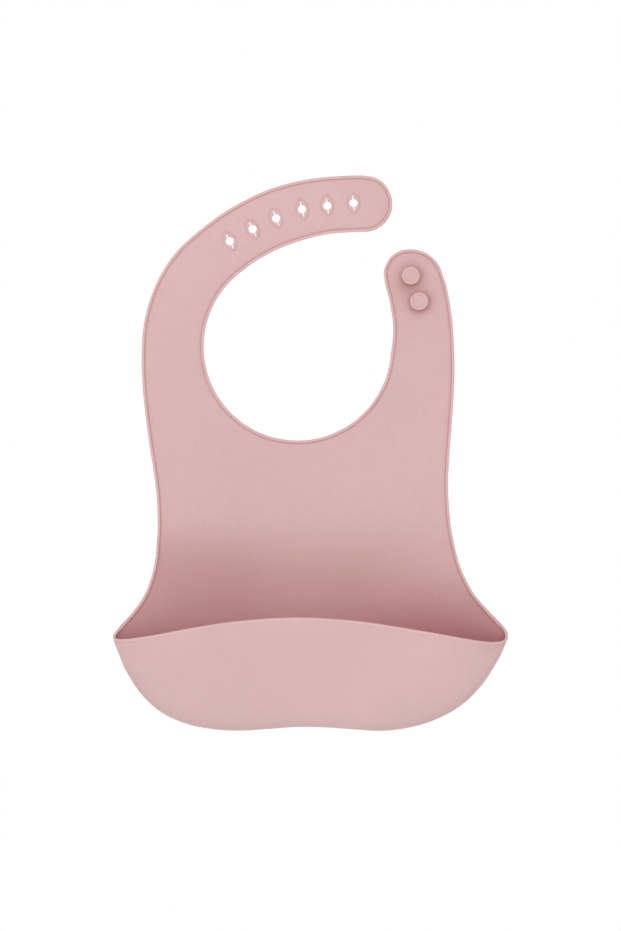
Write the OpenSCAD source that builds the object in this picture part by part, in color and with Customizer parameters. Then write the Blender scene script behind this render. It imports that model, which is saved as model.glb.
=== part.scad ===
// Silicone bib with a catch pocket, a wrap-round strap with keyhole slots
// and a short strap with two button studs.
// Millimetres. Origin: centre of the neck opening, on the flat back face.
// The front faces -Y and +Z is up. Left (-X) and right (+X) are as seen from
// the front, so +X is the wearer's left.
// The straps, the waist and the pocket wall are divided at their lines of
// flex. Each flex line has a half-round edge on one piece, turning in a
// hollow edge on the next.

/* [Sheet] */
// Thickness of the silicone sheet
sheet = 1.8; // [1.4:0.1:2.4]
// Width of the raised bead that follows every free edge
bead_w = 1.7; // [1:0.1:3]
// Height of the bead above the front face
bead_h = 0.9; // [0.3:0.1:1.5]

/* [Neck] */
// Radius of the neck opening
neck_r = 53.8; // [50:0.1:58]

/* [Pocket] */
// Distance of the pocket's two corners in front of the back face
corner_depth = 20; // [14:0.5:26]
// Depth of the pocket's flat front wall at its hinge line
wall_depth = 38; // [32:0.5:44]
// Outward lean of the front wall in degrees
wall_lean = 10.9; // [6:0.1:16]
// Height of the front wall's hinge line
wall_z = -190; // [-195:0.5:-185]
// Squareness of the pocket's rounded floor
floor_power = 2.4; // [2:0.1:3.5]

/* [Fastening] */
// Radius of the round part of each strap hole
slot_r = 2.45; // [2:0.05:3]
// End to end length of the slit across each hole
slit_len = 9.8; // [7:0.1:12]
// Width of the slit
slit_w = 1.1; // [0.6:0.1:1.6]
// Length of the eye-shaped thickening round each hole
eye_len = 12.8; // [11:0.1:15]
// Width of the eye-shaped thickening
eye_w = 7.6; // [6.5:0.1:9]
// Height of the thickening above the front face
eye_h = 0.5; // [0.2:0.1:0.8]
// Diameter of a stud's head
stud_head_d = 10.2; // [8:0.1:12]
// Diameter of a stud's stem
stud_stem_d = 5; // [4:0.1:6]
// Height of a stud above the strap's front face
stud_h = 5.4; // [4:0.1:7]

/* [Flex lines] */
// Radius of the half-round edge of a flex line
knuckle_r = 0.88; // [0.7:0.01:0.89]
// Radius of the hollow edge it turns in
hollow_r = 0.95; // [0.9:0.01:1.1]
// Gap from a flex line to the square end of the hollow edge
setback = 0.5; // [0.3:0.05:1]
// Gap between the ends of the bead and a strap's flex line
bead_gap = 0.5; // [0.3:0.05:1.2]
// Gap between the ends of the bead and a waist flex line
waist_gap = 0.8; // [0.5:0.05:1.5]

/* [Hidden] */
mid = sheet / 2;
full = sheet + bead_h;
// Clearance between neighbouring pocket pieces
seam = 0.08;

// Heights of the flex lines that bound the chest and belly panels
strap_base_z = 3;
waist_top_z = -70;
waist_low_z = -100;

// Reach of the cutting shapes to each side
panel_reach = 120;
strap_reach = 30;
strap_bead_reach = 32;

// Flex lines: [x, z, direction of the child piece in degrees from +X to +Z,
// half the length of the half-round edge]
long_root_flex = [-71.4, strap_base_z, 90, 16.5];
long_bend_flex = [-69.2, 17.9, 84, 17];
long_inner_flex = [-54.4, 45.7, 50, 16.2];
long_outer_flex = [-4.7, 76.3, 19.2, 15.5];
short_root_flex = [72.2, strap_base_z, 90, 16.4];
short_tab_flex = [71.7, 16, 96, 16];
waist_top_flex = [2, waist_top_z, -90, 83.5];
waist_low_flex = [3.8, waist_low_z, -90, 82.7];

// Centres [x, z] of the strap holes, from the shoulder to the tip
slots = [[-38.8, 60.6], [-25.7, 67.5], [-12.2, 73.7], [2.7, 78.9], [17.2, 80.9], [32.2, 82.5]];
// Centres [x, z] of the upper and lower studs
studs = [[65.5, 40.4], [70.1, 26.1]];

// All outline tables below hold [x, z] points.
// Flat sheet: left side, long strap round its tip, and back to the neck opening
left_edge = [
    [-79.9, -110], [-80.1, -101], [-80.8, -84.7], [-82.9, -68.7], [-85.3, -53.2], [-87.4, -37],
    [-88.9, -21], [-89.3, -5.5], [-88.4, 10.5], [-84.9, 26], [-78.6, 41], [-69.6, 54.2],
    [-58.1, 65.1], [-45.4, 74.8], [-32.2, 82.9], [-17.4, 89.8], [-2.4, 94.3], [13.2, 97],
    [29.3, 98.1], [37.3, 98.2], [45.4, 96.6], [51.1, 91.9], [54.2, 84.6], [53.6, 76.6],
    [48.8, 69.8], [42, 66.4], [33.9, 65.9], [18.4, 64.8], [2.9, 61.2], [-12, 55.7],
    [-25.9, 47.9], [-32.2, 42.6]];
// Short strap from the neck opening, round its tip and down the right side
right_edge = [
    [53.6, -3.5], [54.8, 4.8], [54.9, 12.8], [53.9, 20.3], [52.4, 28.3], [50.4, 35.8],
    [49.7, 43.8], [53.4, 51.3], [59.7, 55.2], [67.8, 55.7], [75.2, 52.8], [80.8, 47.3],
    [83.8, 39.9], [86, 32.4], [88.6, 16.9], [89.8, 0.8], [90.1, -15.3], [89.4, -31.4],
    [88.3, -46.9], [87.1, -62.9], [86.4, -79], [87.2, -95.1], [88.9, -109]];

// Pocket: corners, flared edges from the waist to the corners, bottom edge and lip
left_corner = [-104.4, -165.8];
right_corner = [119.4, -165.6];
flare_left = [
    [-80.1, waist_low_z], [-80.4, -108.6], [-81.9, -124.5], [-86.5, -139.7], [-95.4, -152.8],
    [-100.8, -159], left_corner];
flare_right = [
    [87.6, waist_low_z], [89, -108.9], [93.3, -126], [100.2, -140.3], [110.7, -152.7],
    [116.4, -158.9], right_corner];
bottom = [
    left_corner, [-103.6, -169.2], [-100.8, -176.6], [-97.6, -184.2], [-89.1, -197.4],
    [-77.7, -208], [-63, -214.8], [-47.6, -217.9], [-31.7, -218.7], [-15.8, -217.7],
    [0.7, -216.6], [16.6, -216.9], [32.5, -218], [48.4, -218.8], [64.3, -216.8],
    [79.1, -212.2], [93.3, -204.2], [104.7, -193], [113.2, -180], [116.9, -172.7],
    right_corner];
lip = [
    left_corner, [-94, -165.6], [-80.1, -163.5], [-59.8, -159.6], [-39.6, -156.3],
    [-19.4, -154.3], [-0.9, -153.5], [17.6, -154.1], [37.8, -156], [58, -159.1],
    [78.2, -162.6], [98.6, -166.4], [109, -167.4], [115, -166.9], right_corner];

// ---- curves ----
function catmull_rom(before, start, end, after, t) =
    0.5 * (2 * start + (end - before) * t
        + (2 * before - 5 * start + 4 * end - after) * t * t
        + (3 * start - before - 3 * end + after) * t * t * t);
function spline(points, steps) = let (last = len(points) - 1) concat(
    [for (i = [0:last - 1]) for (k = [0:steps - 1])
        catmull_rom(points[max(i - 1, 0)], points[i], points[i + 1],
            points[min(i + 2, last)], k / steps)],
    [points[last]]);
function arc(radius, from, to, steps) =
    [for (i = [0:steps]) let (angle = from + (to - from) * i / steps)
        radius * [cos(angle), sin(angle)]];
function unit(vector) = vector / norm(vector);
// Closed clockwise outline moved inwards
function inset(points, distance) = let (count = len(points))
    [for (i = [0:count - 1])
        let (tangent = unit(points[(i + 1) % count] - points[(i + count - 1) % count]))
        points[i] + distance * [tangent[1], -tangent[0]]];
// Eased step from 0 to 1
function smooth(value) = let (held = min(1, max(0, value))) held * held * (3 - 2 * held);
function mix(first, second, share) = first * (1 - share) + second * share;
// Point a share of the way along a list of points
function along(points, share) = let (
    spans = len(points) - 1,
    i = min(spans - 1, floor(share * spans)))
    mix(points[i], points[i + 1], share * spans - i);

// The arc under the neck lies inside the opening, which trims it away
outline = concat(spline(left_edge, 4), arc(neck_r - 4, 140, 350, 24), spline(right_edge, 4));
inner = inset(outline, bead_w);
lip_line = spline(lip, 6);
bottom_line = spline(bottom, 8);
function lip_z(x) = lookup(x, lip_line);
function bottom_z(x) = lookup(x, bottom_line);

// ---- flat pieces ----
// Point at a distance ahead of a flex line in the child's direction, and
// sideways along the line
function at(line, ahead, side) = [
    line[0] + ahead * cos(line[2]) - side * sin(line[2]),
    line[1] + ahead * sin(line[2]) + side * cos(line[2])];
module place(line)
    translate([line[0], -mid, line[1]]) rotate([0, -line[2], 0]) children();
module slab(points, front, back = 0)
    translate([0, back, 0]) rotate([90, 0, 0]) linear_extrude(front + back) polygon(points);

// Neck opening: round in the chest, in one-degree flats where it runs up the straps
module neck(radius, is_round)
    translate([0, 1, 0]) rotate([90, 0, 0]) rotate([0, 0, 75])
        if (is_round) cylinder(r = radius, h = 20, $fn = 360);
        else linear_extrude(20) polygon(arc(radius, 0.37, 359.37, 359));

// Block that clears the bead within a gap each side of a flex line
module bead_cut(line, gap, reach)
    place(line) translate([-gap, -5 - mid, -reach]) cube([2 * gap, 5, 2 * reach]);

// Sheet with its bead inside the polygon zone, the bead clear of the flex lines given
module sheet_piece(zone, lines, is_round = false) {
    difference() {
        intersection() {
            difference() {
                slab(outline, full);
                neck(neck_r, is_round);
            }
            slab(zone, 12, 4);
        }
        difference() {
            translate([0, -sheet, 0]) slab(inner, 5);
            neck(neck_r + bead_w, is_round);
        }
        for (line = lines) bead_cut(line, bead_gap, strap_bead_reach);
    }
}
module knuckle(line)
    place(line) cylinder(r = knuckle_r, h = 2 * line[3], center = true, $fn = 48);
module hollow(line)
    place(line) cylinder(r = hollow_r, h = 2 * line[3] + 8, center = true, $fn = 48);

// Zone across the whole panel between two heights
function band(low, high) =
    [[-panel_reach, low], [-panel_reach, high], [panel_reach, high], [panel_reach, low]];

module chest_panel() color([0.85, 0.7, 0.69]) difference() {
    sheet_piece(band(waist_top_z + setback, strap_base_z - setback),
        [long_root_flex, short_root_flex], true);
    for (line = [long_root_flex, short_root_flex, waist_top_flex]) hollow(line);
    bead_cut(waist_top_flex, waist_gap, panel_reach);
}

module belly_panel() color([0.84, 0.69, 0.68]) {
    difference() {
        sheet_piece(band(waist_low_z, waist_top_z), []);
        for (line = [waist_top_flex, waist_low_flex]) bead_cut(line, waist_gap, panel_reach);
    }
    for (line = [waist_top_flex, waist_low_flex]) knuckle(line);
}

// ---- straps ----
// Length of strap between two flex lines: half-round at the start, hollow at the end
module strap_link(start, end) {
    difference() {
        sheet_piece([
            at(start, 0, -strap_reach), at(start, 0, strap_reach),
            at(end, -setback, strap_reach), at(end, -setback, -strap_reach)],
            [start, end]);
        hollow(end);
    }
    knuckle(start);
}
// Free end of a strap; beyond holds the zone's corners past the tip
module strap_tip(start, beyond) {
    sheet_piece(
        concat([at(start, 0, -strap_reach), at(start, 0, strap_reach)], beyond), [start]);
    knuckle(start);
}

// Direction of the line of holes at hole i
function slot_run(i) = unit(slots[min(i + 1, len(slots) - 1)] - slots[max(i - 1, 0)]);
// Children at hole i: X along the line of holes, Y across the strap, Z to the front
module at_slot(i, y)
    translate([slots[i][0], y, slots[i][1]])
        rotate([0, -atan2(slot_run(i)[1], slot_run(i)[0]), 0]) rotate([90, 0, 0]) children();

// Eye-shaped thickening: the overlap of two discs
module eye(i) {
    radius = (eye_len * eye_len + eye_w * eye_w) / (4 * eye_w);
    at_slot(i, -mid) intersection() {
        translate([radius - eye_w / 2, 0, 0]) cylinder(r = radius, h = mid + eye_h, $fn = 120);
        translate([eye_w / 2 - radius, 0, 0]) cylinder(r = radius, h = mid + eye_h, $fn = 120);
    }
}
// Round hole with a round-ended slit across it
module keyhole(i) {
    slit_half = (slit_len - slit_w) / 2;
    at_slot(i, 4) {
        cylinder(r = slot_r, h = 12, $fn = 64);
        translate([-slit_w / 2, -slit_half, 0]) cube([slit_w, slit_len - slit_w, 12]);
        for (side = [-1, 1])
            translate([0, side * slit_half, 0]) cylinder(r = slit_w / 2, h = 12, $fn = 24);
    }
}

module long_strap_root() color([0.85, 0.71, 0.7]) strap_link(long_root_flex, long_bend_flex);

module long_strap_bend() color([0.84, 0.7, 0.69]) strap_link(long_bend_flex, long_inner_flex);

module long_strap_slots_inner() color([0.85, 0.71, 0.7]) difference() {
    union() {
        strap_link(long_inner_flex, long_outer_flex);
        for (i = [0:2]) eye(i);
    }
    for (i = [0:2]) keyhole(i);
}

module long_strap_slots_outer() color([0.84, 0.7, 0.69]) difference() {
    union() {
        strap_tip(long_outer_flex, [[80, 110], [80, 60], [40, 60]]);
        for (i = [3:5]) eye(i);
    }
    for (i = [3:5]) keyhole(i);
}

module short_strap_root() color([0.85, 0.71, 0.7]) strap_link(short_root_flex, short_tab_flex);

module short_strap_tab() color([0.84, 0.7, 0.69])
    strap_tip(short_tab_flex, [[38, 60], [106, 60]]);

// Stud: flared foot, stem, and a mushroom head with a softened rim and a
// shallow dish in its face
module stud(centre) {
    stem = stud_stem_d / 2;
    head = stud_head_d / 2;
    translate([centre[0], -sheet, centre[1]]) rotate([90, 0, 0]) rotate_extrude($fn = 96)
        polygon([
            [0, 0], [stem + 0.9, 0], [stem + 0.35, 0.3], [stem, 0.9],
            [stem, stud_h - 2.6], [stem + 0.3, stud_h - 2.2],
            [head - 0.5, stud_h - 1.9], [head - 0.1, stud_h - 1.6], [head, stud_h - 1.2],
            [head - 0.12, stud_h - 0.7], [head - 0.5, stud_h - 0.25], [head - 1.1, stud_h],
            [head - 1.5, stud_h - 0.05], [head - 1.8, stud_h - 0.35], [0, stud_h - 0.35]]);
}
module upper_stud() color([0.83, 0.69, 0.68]) stud(studs[0]);
module lower_stud() color([0.83, 0.69, 0.68]) stud(studs[1]);

// ---- pocket surfaces ----
// A station runs across the pocket from -1 at the left corner to 1 at the right
pocket_x = (left_corner[0] + right_corner[0]) / 2;
pocket_half = (right_corner[0] - left_corner[0]) / 2;
// Station where the flat front wall gives way to the rounded ends
flat_station = 0.6;
wall_half = flat_station * pocket_half;
wall_left = pocket_x - wall_half;
lean_slope = tan(wall_lean);
section_power = 2 / floor_power;
// Share of the pocket's height taken by the rounded floor at the back
back_share = 0.42;
// The back panel starts curving forward here and is fully curved after the drop
curve_top_z = -112;
curve_drop = 53;

function station_at(x) = (x - pocket_x) / pocket_half;
function x_at(station) = pocket_x + station * pocket_half;
// 1 across the flat wall, falling to 0 at the corners
function fullness(station) =
    let (past = max(0, (abs(station) - flat_station) / (1 - flat_station)))
    pow(max(0, 1 - pow(min(1, past), 2.2)), 0.6);
function curved_back_y(station) = -corner_depth
    + corner_depth * pow(max(0, 1 - pow(min(1, abs(station)), 3)), 0.7);
// Back face of the panel: flat above, curving forward to the pocket's corners
function back_y(x, z) =
    curved_back_y(station_at(x)) * smooth((curve_top_z - z) / curve_drop);
// Unit normal of the back face, pointing to the front
function back_normal(x, z) = let (
    step = 0.2,
    slope_x = (back_y(x + step, z) - back_y(x - step, z)) / (2 * step),
    slope_z = (back_y(x, z + step) - back_y(x, z - step)) / (2 * step))
    unit([slope_x, -1, slope_z]);

// Height of the rounded floor at the front and at the back
function pocket_height(x) = lip_z(x) - bottom_z(x);
function hinge_share(station) = let (x = pocket_x + sign(station) * wall_half)
    (wall_z - bottom_z(x)) / pocket_height(x);
function front_rise(station) = let (x = x_at(station))
    abs(station) <= flat_station
        ? wall_z - bottom_z(x)
        : hinge_share(station) * pocket_height(x);
function back_rise(station) = back_share * pocket_height(x_at(station));

// Section of the pocket's outer face at a station, as [y, z]: share in 0..1
// rises up the back, or up to the front wall's foot
function back_point(station, share) = let (angle = 90 * share) [
    -corner_depth + (curved_back_y(station) + corner_depth) * pow(sin(angle), section_power),
    bottom_z(x_at(station)) + back_rise(station) * (1 - pow(cos(angle), section_power))];
function front_point(station, share) = let (
    angle = 90 * share,
    full_here = fullness(station),
    slope = lean_slope * full_here,
    foot_y = -corner_depth - (wall_depth - corner_depth) * full_here,
    rise = front_rise(station),
    climb = rise * (1 - pow(cos(angle), section_power)),
    bulge = -corner_depth - foot_y - slope * rise)
    [-corner_depth - bulge * pow(sin(angle), section_power) - slope * climb,
        bottom_z(x_at(station)) + climb];
function foot(station) = front_point(station, 1);
// Point up the front wall, at a height above its foot
function wall_point(station, height) =
    foot(station) + height * [-lean_slope * fullness(station), 1];
function wall_height(station) = lip_z(x_at(station)) - foot(station)[1];
// Section from the top of the back, under the floor, to the front wall's foot
function floor_curve(station, steps) = concat(
    [for (i = [steps:-1:1]) back_point(station, i / steps)],
    [for (i = [0:steps]) front_point(station, i / steps)]);

// Sheet thickness, thinning towards the corners over a span of stations
function thinned(station, span) =
    sheet * (1 - 0.55 * smooth((abs(station) - 0.93) / span));

// ---- solids from rings ----
// Rings have equal length. Each runs down one face and back up the other,
// then round its hollow edge where it has one.
function flatten(lists) = [for (list = lists) for (item = list) item];
function flipped(faces) = [for (face = faces) [face[0], face[2], face[1]]];
// Sides between neighbouring rings
function ring_sides(rings, size) =
    [for (i = [0:rings - 2]) for (j = [0:size - 1]) for (half = [0, 1]) let (
        here = i * size + j,
        next = i * size + (j + 1) % size)
        half == 0 ? [here, next, next + size] : [here, next + size, here + size]];
// Cap of the ring starting at point first, with a strip between its two faces
// and a fan at its hollow edge of arc_count points
function cap(first, size, arc_count) = let (
    face_count = (size - arc_count) / 2,
    arc_first = first + 2 * face_count,
    strip = [for (j = [arc_count > 0 ? 1 : 0:face_count - 2]) for (half = [0, 1]) let (
        near = first + j,
        far = arc_first - 1 - j)
        half == 0 ? [near, far, near + 1] : [near + 1, far, far - 1]],
    rim = concat([first], [for (i = [arc_count - 1:-1:0]) arc_first + i],
        [arc_first - 1, arc_first - 2]),
    fan = [for (i = [0:arc_count + 1]) [first + 1, rim[i], rim[i + 1]]])
    arc_count > 0 ? concat(strip, fan) : strip;
// Solid capped at both ends, each ring having a hollow edge
function ring_faces(rings, size) = concat(
    ring_sides(rings, size),
    cap(0, size, hollow_points),
    flipped(cap((rings - 1) * size, size, hollow_points)));

// Hollow edge of a ring about the [y, z] point centre. ahead points from the
// piece to the flex line, across from the ring's first face to its second;
// the points run from the second face to the first.
hollow_points = 7;
function hollow_arc(centre, ahead, across) = let (
    radius = hollow_r + 0.02,
    start = asin(setback / radius))
    [for (i = [0:hollow_points - 1])
        let (angle = start + (180 - 2 * start) * i / (hollow_points - 1))
        centre + radius * (cos(angle) * across - sin(angle) * ahead)];

// ---- back panel of the pocket ----
// Rows run down from the waist, columns from left to right. Beads stand on
// the front face along the flared edges.
back_rows = 18;
back_spans = 24;
// Depth of the last row, as a share of the way down the flares
last_row = 0.992;
// Edge bead: [distance in from the flared edge, share of the bead's height]
edge_profile = [[0, 0.55], [0.4, 1], [1.3, 1], [1.7, 0.6], [1.95, 0]];
edge_last = len(edge_profile) - 1;
edge_band = edge_profile[edge_last][0];
// Columns: [share of the width from the left, offset in mm, share of the bead's height]
back_columns = concat(
    [for (step = edge_profile) [0, step[0], step[1]]],
    [for (i = [1:back_spans - 1]) let (share = i / back_spans)
        [share, edge_band * (1 - 2 * share), 0]],
    [for (i = [edge_last:-1:0]) [1, -edge_profile[i][0], edge_profile[i][1]]]);
left_flare = spline(flare_left, 8);
right_flare = spline(flare_right, 8);

// Top of the rounded floor at the back, with the seam's clearance
function floor_top_z(x) = bottom_z(x) + back_rise(station_at(x)) + seam;
// Point [x, z] of a column, a share of the way down
function panel_point(column, down) = let (
    left = along(left_flare, down),
    right = along(right_flare, down),
    share = column[0] + column[1] / (right[0] - left[0]),
    corner = mix(left_corner, right_corner, share))
    mix(left, right, share) + [0, down * down * (floor_top_z(corner[0]) - corner[1])];
// Height of the bead, fading out near the corners
function edge_bead(column, x) =
    column[2] * bead_h * (1 - smooth((abs(station_at(x)) - 0.95) / 0.045));
function back_ring(column) = let (
    points = [for (j = [0:back_rows])
        let (point = panel_point(column, last_row * pow(j / back_rows, 0.9)))
        j == 0 ? [point[0], waist_low_z - setback] : point],
    back = [for (point = points) [point[0], back_y(point[0], point[1]), point[1]]],
    front = [for (j = [back_rows:-1:0]) let (
        x = points[j][0],
        bead = j < 2 ? 0 : edge_bead(column, x))
        back[j] + (thinned(station_at(x), 0.065) + bead) * back_normal(x, points[j][1])],
    edge = hollow_arc([-mid, waist_low_z], [0, 1], [-1, 0]))
    concat(back, front, [for (point = edge) [back[0][0], point[0], point[1]]]);

module pocket_back() color([0.83, 0.68, 0.67]) {
    rings = [for (column = back_columns) back_ring(column)];
    polyhedron(points = flatten(rings), faces = ring_faces(len(rings), len(rings[0])));
}

// ---- rounded floor, ending in the hollow edge of the wall's hinge ----
floor_spans = 24;
// [y, z] directions up the front wall and through it to the back
wall_up = [-sin(wall_lean), cos(wall_lean)];
wall_in = [cos(wall_lean), sin(wall_lean)];
hinge_yz = [-wall_depth, wall_z] + mid * wall_in;

// Unit normals of a curve, a quarter turn from its tangents
function normals(points) = let (last = len(points) - 1)
    [for (i = [0:last])
        let (tangent = unit(points[min(i + 1, last)] - points[max(i - 1, 0)]))
        [-tangent[1], tangent[0]]];
function floor_ring(x) = let (
    curve = floor_curve(station_at(x), 8),
    last = len(curve) - 1,
    normal = normals(curve),
    outside = [for (i = [0:last]) i == last ? curve[i] - setback * wall_up : curve[i]],
    inside = [for (i = [0:last])
        i == last ? outside[i] + sheet * wall_in
        : i == 0 ? outside[i] + [-sheet, 0]
        : outside[i] - sheet * normal[i]],
    edge = hollow_arc(hinge_yz, wall_up, wall_in))
    [for (point = concat([for (i = [last:-1:0]) outside[i]], inside, edge))
        [x, point[0], point[1]]];

module pocket_floor() color([0.81, 0.66, 0.65]) {
    rings = [for (i = [0:floor_spans]) floor_ring(wall_left + 2 * wall_half * i / floor_spans)];
    polyhedron(points = flatten(rings),
        faces = flipped(ring_faces(len(rings), len(rings[0]))));
}

// ---- front wall: leaning and flat, cut to the lip's curve, with a bead outside ----
lip_spans = 40;
// Stretch in X that carries a cutter past the wall's sides
overcut = [1.02, 1, 1];

// Everything below the lip's curve lowered by drop
module lip_zone(drop)
    translate([0, 20, 0]) rotate([90, 0, 0]) linear_extrude(90) polygon(concat(
        [for (i = [0:lip_spans]) let (x = wall_left + 2 * wall_half * i / lip_spans)
            [x, lip_z(x) - drop]],
        [[pocket_x + wall_half, wall_z - 6], [wall_left, wall_z - 6]]));
// Leaning block reaching back and front of the hinge line, from low upwards
module wall(back, front, low)
    translate([wall_left, hinge_yz[0], hinge_yz[1]]) rotate([wall_lean, 0, 0])
        translate([0, -front, low]) cube([2 * wall_half, front + back, 60]);

module pocket_front() color([0.84, 0.69, 0.68]) {
    difference() {
        intersection() {
            wall(mid, mid + bead_h, 0);
            lip_zone(0);
        }
        intersection() {
            translate([-1, 0, 0]) scale(overcut) wall(-mid, mid + 6, -1);
            translate([pocket_x, 0, 0]) scale(overcut) translate([-pocket_x, 0, 0])
                lip_zone(bead_w);
        }
    }
    translate([wall_left, hinge_yz[0], hinge_yz[1]]) rotate([0, 90, 0])
        cylinder(r = knuckle_r, h = 2 * wall_half, $fn = 48);
}

// ---- rounded ends of the pocket, from the floor and wall round to the corner ----
end_spans = 13;
end_limit = 0.985;
// Stations of the rings, closing up towards the corner; the first clears the seam
end_stations = [for (i = [0:end_spans])
    flat_station + (i == 0 ? seam / pocket_half : 0)
        + (end_limit - flat_station) * (1 - pow(1 - i / end_spans, 1.6))];
// Share of the bead's height at the last four points below the lip
rim_profile = [0.5, 1, 1, 0.55];

function end_curve(station) = let (
    height = wall_height(station),
    bead = min(bead_w, 0.3 * height),
    plain = height - bead,
    heights = [0.3 * plain, 0.65 * plain, height - 1.08 * bead,
        plain, height - 0.75 * bead, height - 0.25 * bead, height])
    concat(floor_curve(station, 7), [for (level = heights) wall_point(station, level)]);

// side is -1 for the left end, 1 for the right
module pocket_end(side) {
    grid = [for (station = end_stations) [for (point = end_curve(side * station))
        [x_at(side * station), point[0], point[1]]]];
    last_ring = len(grid) - 1;
    last = len(grid[0]) - 1;
    rim_start = last + 1 - len(rim_profile);
    rings = [for (i = [0:last_ring]) let (
        thickness = thinned(end_stations[i], 0.055),
        normal = [for (j = [0:last]) let (
            up = grid[i][min(j + 1, last)] - grid[i][max(j - 1, 0)],
            outward = i == 0
                ? [side, 0, 0]
                : grid[min(i + 1, last_ring)][j] - grid[i - 1][j])
            side * unit(cross(up, outward))],
        outside = [for (j = [0:last])
            let (share = j < rim_start ? 0 : rim_profile[j - rim_start])
            grid[i][j] - share * bead_h * thickness / sheet * normal[j]],
        inside = [for (j = [last:-1:0])
            grid[i][j] + thickness * (j == 0 ? [0, -1, 0] : j == last ? [0, 1, 0] : normal[j])])
        concat(outside, inside)];
    corner = side < 0 ? left_corner : right_corner;
    tip = [corner[0] - side * 0.4, -corner_depth, -166.2];
    size = len(rings[0]);
    tip_index = len(rings) * size;
    faces = concat(
        ring_sides(len(rings), size),
        cap(0, size, 0),
        [for (j = [0:size - 1])
            [last_ring * size + j, last_ring * size + (j + 1) % size, tip_index]]);
    polyhedron(points = concat(flatten(rings), [tip]), faces = side > 0 ? faces : flipped(faces));
}
module pocket_left_end() color([0.82, 0.67, 0.66]) pocket_end(-1);
module pocket_right_end() color([0.82, 0.67, 0.66]) pocket_end(1);

chest_panel();
belly_panel();
pocket_back();
pocket_floor();
pocket_front();
pocket_left_end();
pocket_right_end();
long_strap_root();
long_strap_bend();
long_strap_slots_inner();
long_strap_slots_outer();
short_strap_root();
short_strap_tab();
upper_stud();
lower_stud();
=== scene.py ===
"""A silicone bib: a flat sheet with a rounded bead along its edge, a catcher pocket
at the foot, a long strap with six slots and a short strap with two studs.

It hangs upright with the centre of the neck opening at the origin. X runs to the
right as seen from the front, Z up, and the front faces -Y. The back of the flat
sheet lies at y = 0. Shapes are worked out in mm and scaled to metres in the meshes.
"""
import math
import bmesh
import bpy
import numpy as np
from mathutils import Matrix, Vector
from mathutils.geometry import delaunay_2d_cdt


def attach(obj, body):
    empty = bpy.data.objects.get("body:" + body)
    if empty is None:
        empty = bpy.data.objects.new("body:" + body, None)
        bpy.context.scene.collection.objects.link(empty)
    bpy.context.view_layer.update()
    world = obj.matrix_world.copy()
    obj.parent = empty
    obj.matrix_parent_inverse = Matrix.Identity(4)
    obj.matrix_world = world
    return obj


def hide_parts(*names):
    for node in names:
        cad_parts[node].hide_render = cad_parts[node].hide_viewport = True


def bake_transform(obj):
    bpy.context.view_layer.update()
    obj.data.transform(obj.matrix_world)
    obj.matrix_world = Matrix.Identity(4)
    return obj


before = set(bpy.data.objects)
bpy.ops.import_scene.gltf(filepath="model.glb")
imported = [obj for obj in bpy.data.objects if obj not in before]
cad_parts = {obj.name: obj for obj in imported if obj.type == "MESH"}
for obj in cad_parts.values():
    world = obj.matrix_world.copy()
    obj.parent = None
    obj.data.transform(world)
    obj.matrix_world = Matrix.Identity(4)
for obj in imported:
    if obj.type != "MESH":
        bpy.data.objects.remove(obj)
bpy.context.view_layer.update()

# ------------------------------------------------------------------ dimensions, mm
MM = 0.001
SHEET = 1.8  # thickness
BEAD_HALF_WIDTH, BEAD_HALF_DEPTH = 0.9, 1.35  # across the edge, front to back
NECK_R = 53.8
PATH_STEP = 1.1
POCKET_CUT_Z = -110.0  # the pocket pieces start below this level

# Depth of the groove beside the bead, by distance from the edge
GROOVE = {0.7: 0.0, 1.62: 0.07, 1.78: 0.135, 1.95: 0.105, 2.15: 0.04, 2.45: 0.0}
RINGS = list(GROOVE)

# Pocket
CORNER_Y = 20.0  # how far forward its two corners stand
WALL_FOOT_Y = 38.0  # how far forward the foot of the front wall stands in the middle
LEAN = math.tan(math.radians(10.9))  # forward lean of the front wall
ROUND_POWER = 2.4  # superellipse power of the rounded floor
BACK_ROUND, FRONT_ROUND = 0.42, 0.43  # height of the rounding, as a share of the pocket's

# Slots: a round hole with a pointed slit each way, on an eye-shaped boss
HOLE_R, SLIT_TIP, SLIT_HALF_WIDTH = 2.42, 4.95, 0.44
EYE_LENGTH, EYE_WIDTH, EYE_RISE = 13.0, 7.8, 0.55
EYE_R = (EYE_LENGTH ** 2 + EYE_WIDTH ** 2) / (4 * EYE_WIDTH)
EYE_OFFSET = EYE_R - EYE_WIDTH / 2  # of each arc's centre from the middle of the eye
RIM_SINK = 0.34  # softened rim of a hole, at its very edge

# ------------------------------------------------------------------ outlines: x, z
TIP_LEFT, TIP_RIGHT = (-104.65, -165.8), (119.7, -165.6)  # corners of the pocket
# Left side and the outer edge of the long strap, round its end and back to the neck
LEFT = [
    (-80.1, -101), (-80.8, -84.7), (-82.9, -68.7), (-85.3, -53.2), (-87.4, -37),
    (-88.9, -21), (-89.3, -5.5), (-88.4, 10.5), (-84.9, 26), (-78.6, 41), (-69.6, 54.2),
    (-58.1, 65.1), (-45.4, 74.8), (-32.2, 82.9), (-17.4, 89.8), (-2.4, 94.3), (13.2, 97),
    (29.3, 98.1), (37.3, 98.2), (45.4, 96.6), (51.1, 91.9), (54.2, 84.6), (53.6, 76.6),
    (48.8, 69.8), (42, 66.4), (33.9, 65.9), (18.4, 64.8), (2.9, 61.2), (-12, 55.7),
    (-25.9, 47.9), (-32.2, 42.6)]
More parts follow.
